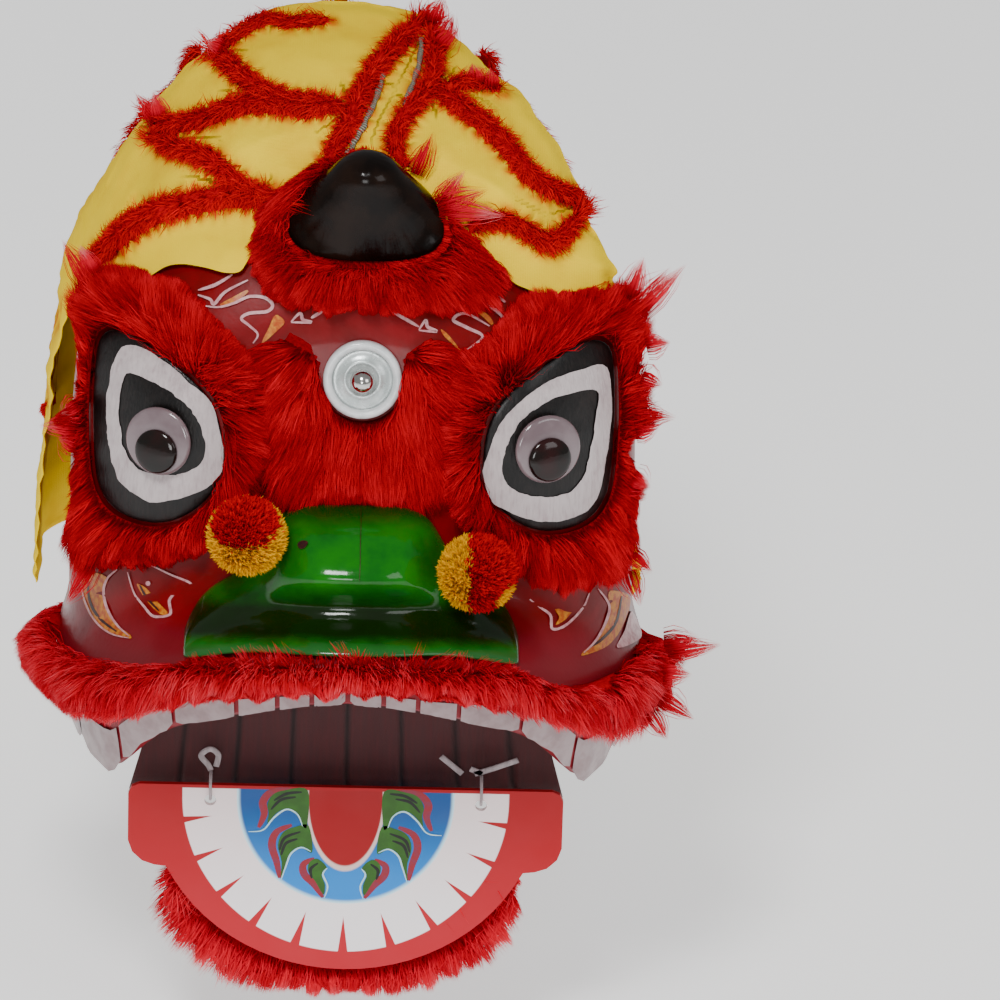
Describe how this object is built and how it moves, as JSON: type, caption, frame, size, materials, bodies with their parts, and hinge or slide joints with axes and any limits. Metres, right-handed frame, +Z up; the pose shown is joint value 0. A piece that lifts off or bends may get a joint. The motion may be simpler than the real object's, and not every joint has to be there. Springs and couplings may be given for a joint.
{
  "type": "lion dance head",
  "caption": "Child-size lion dance head: glossy red mask with black horn, forehead mirror, googly eyes, green nose, fur brows and lip, yellow hood and a printed jaw that swings",
  "frame": {"origin": "inside of the crown, at the spot that rests on the wearer's head", "axes": "+X to the viewer's right when looking at the face, -Y out of the face, +Z up"},
  "size_m": [0.3062, 0.3657, 0.4073],
  "materials": {
    "shell_gloss_red": "glossy moulded shell, dark red, with painted flame outlines on the brow and cheeks and a printed row of teeth on the lip",
    "hood_yellow_cloth": "matt yellow cotton cloth, gathered along the fur strips",
    "red_fur": "long red imitation fur",
    "lining_maroon_cloth": "dark maroon pleated cloth",
    "horn_gloss_black": "high-gloss black",
    "nose_gloss_green": "high-gloss dark green",
    "eye_plate_black": "black with a hand-brushed white band",
    "eye_disc_grey": "clear-coated grey mauve",
    "pupil_black": "glossy black",
    "mirror_ring_enamel": "white enamelled ring",
    "mirror_plate": "dull silvered disc",
    "mirror_ball_chrome": "bright chromed ball",
    "pompom_yarn": "cut red and yellow yarn",
    "post_steel": "plain wire",
    "jaw_board_print": "coated board with a printed mouth: teeth, tongue and leaves",
    "tie_white": "white cotton tie",
    "braid_grey": "grey braid"
  },
  "bodies": {
    "head": {"head_shell": "shell_gloss_red", "braid_left": "braid_grey", "braid_right": "braid_grey", "crest_fur_left": "red_fur", "crest_fur_right": "red_fur", "eye_disc_left": "eye_disc_grey", "eye_disc_right": "eye_disc_grey", "eye_fur_left": "red_fur", "eye_fur_right": "red_fur", "eye_plate_left": "eye_plate_black", "eye_plate_right": "eye_plate_black", "forehead_fur": "red_fur", "hood": "hood_yellow_cloth", "hood_fur_back_left": "red_fur", "hood_fur_back_middle": "red_fur", "hood_fur_back_right": "red_fur", "hood_fur_left_1": "red_fur", "hood_fur_left_2": "red_fur", "hood_fur_left_3": "red_fur", "hood_fur_left_4": "red_fur", "hood_fur_left_5": "red_fur", "hood_fur_left_6": "red_fur", "hood_fur_right_1": "red_fur", "hood_fur_right_2": "red_fur", "hood_fur_right_3": "red_fur", "horn": "horn_gloss_black", "horn_ruff": "red_fur", "lip_fur": "red_fur", "mirror_ball": "mirror_ball_chrome", "mirror_plate": "mirror_plate", "mirror_ring": "mirror_ring_enamel", "mouth_lining": "lining_maroon_cloth", "nose": "nose_gloss_green", "pompom_left": "pompom_yarn", "pompom_post_left": "post_steel", "pompom_post_right": "post_steel", "pompom_right": "pompom_yarn", "pupil_left": "pupil_black", "pupil_right": "pupil_black", "tie_knot_left": "tie_white", "tie_knot_right": "tie_white"},
    "jaw": {"jaw_board": "jaw_board_print", "beard_fur": "red_fur", "tie_loop_left": "tie_white", "tie_loop_right": "tie_white"}
  },
  "joints": [
    {"name": "jaw_hinge", "type": "hinge", "parent": "head", "child": "jaw", "pos_m": [0, -0.14635, -0.2858], "axis": [-1, 0, 0], "range_deg": [-10, 80]}
  ]
}
